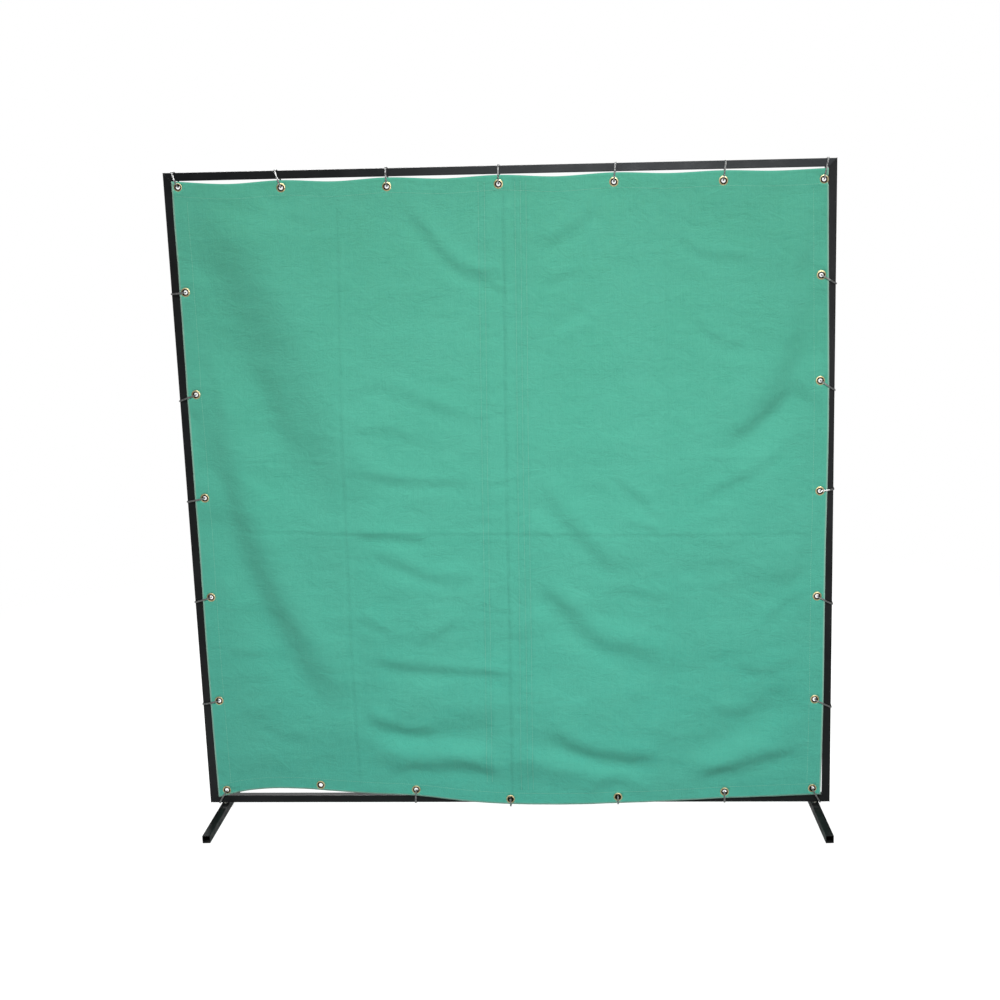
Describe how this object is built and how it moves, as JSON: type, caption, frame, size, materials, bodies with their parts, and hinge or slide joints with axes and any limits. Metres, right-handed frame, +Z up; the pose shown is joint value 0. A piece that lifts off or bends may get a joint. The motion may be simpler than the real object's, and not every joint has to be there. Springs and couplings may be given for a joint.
{
  "type": "welding curtain screen",
  "caption": "Free-standing square welding screen: black tube frame on two swivelling feet, with a green canvas curtain tied in by its grommets.",
  "frame": {"origin": "on the floor, under the centre of the frame", "axes": "+Z up, -Y the front that the curtain faces, +X to the right as seen from the front"},
  "size_m": [1.835, 0.4832, 1.8579],
  "materials": {
    "frame_paint": "semi-gloss black enamel on square steel tube",
    "green_canvas": "matt green flame-retardant canvas duck",
    "brass": "rolled brass, slightly tarnished",
    "nylon": "natural nylon",
    "zinc_steel": "bright zinc plate"
  },
  "bodies": {
    "screen": {"left_post": "frame_paint", "top_rail": "frame_paint", "right_post": "frame_paint", "bottom_rail": "frame_paint", "left_pivot_spacer": "nylon", "left_pivot_bolt": "zinc_steel", "left_pivot_nut": "zinc_steel", "right_pivot_spacer": "nylon", "right_pivot_bolt": "zinc_steel", "right_pivot_nut": "zinc_steel", "curtain": "green_canvas", "left_grommet_1": "brass", "left_wire_tie_1": "zinc_steel", "left_grommet_2": "brass", "left_wire_tie_2": "zinc_steel", "left_grommet_3": "brass", "left_wire_tie_3": "zinc_steel", "left_grommet_4": "brass", "left_wire_tie_4": "zinc_steel", "left_grommet_5": "brass", "left_wire_tie_5": "zinc_steel", "top_grommet_1": "brass", "top_wire_tie_1": "zinc_steel", "top_grommet_2": "brass", "top_wire_tie_2": "zinc_steel", "top_grommet_3": "brass", "top_wire_tie_3": "zinc_steel", "top_grommet_4": "brass", "top_wire_tie_4": "zinc_steel", "top_grommet_5": "brass", "top_wire_tie_5": "zinc_steel", "top_grommet_6": "brass", "top_wire_tie_6": "zinc_steel", "top_grommet_7": "brass", "top_wire_tie_7": "zinc_steel", "right_grommet_1": "brass", "right_wire_tie_1": "zinc_steel", "right_grommet_2": "brass", "right_wire_tie_2": "zinc_steel", "right_grommet_3": "brass", "right_wire_tie_3": "zinc_steel", "right_grommet_4": "brass", "right_wire_tie_4": "zinc_steel", "right_grommet_5": "brass", "right_wire_tie_5": "zinc_steel", "bottom_grommet_1": "brass", "bottom_wire_tie_1": "zinc_steel", "bottom_grommet_2": "brass", "bottom_wire_tie_2": "zinc_steel", "bottom_grommet_3": "brass", "bottom_wire_tie_3": "zinc_steel", "bottom_grommet_4": "brass", "bottom_wire_tie_4": "zinc_steel", "bottom_grommet_5": "brass", "bottom_wire_tie_5": "zinc_steel", "bottom_grommet_6": "brass", "bottom_grommet_7": "brass", "bottom_wire_tie_7": "zinc_steel"},
    "left_foot_body": {"left_foot": "frame_paint"},
    "right_foot_body": {"right_foot": "frame_paint"}
  },
  "joints": [
    {"name": "left_foot_swivel", "type": "hinge", "parent": "screen", "child": "left_foot_body", "pos_m": [-0.8714, 0, 0.0111], "axis": [0, 0, 1], "range_deg": [-92.5, 87.5]},
    {"name": "right_foot_swivel", "type": "hinge", "parent": "screen", "child": "right_foot_body", "pos_m": [0.8714, 0, 0.0111], "axis": [0, 0, 1], "range_deg": [-94.5, 85.5]}
  ]
}
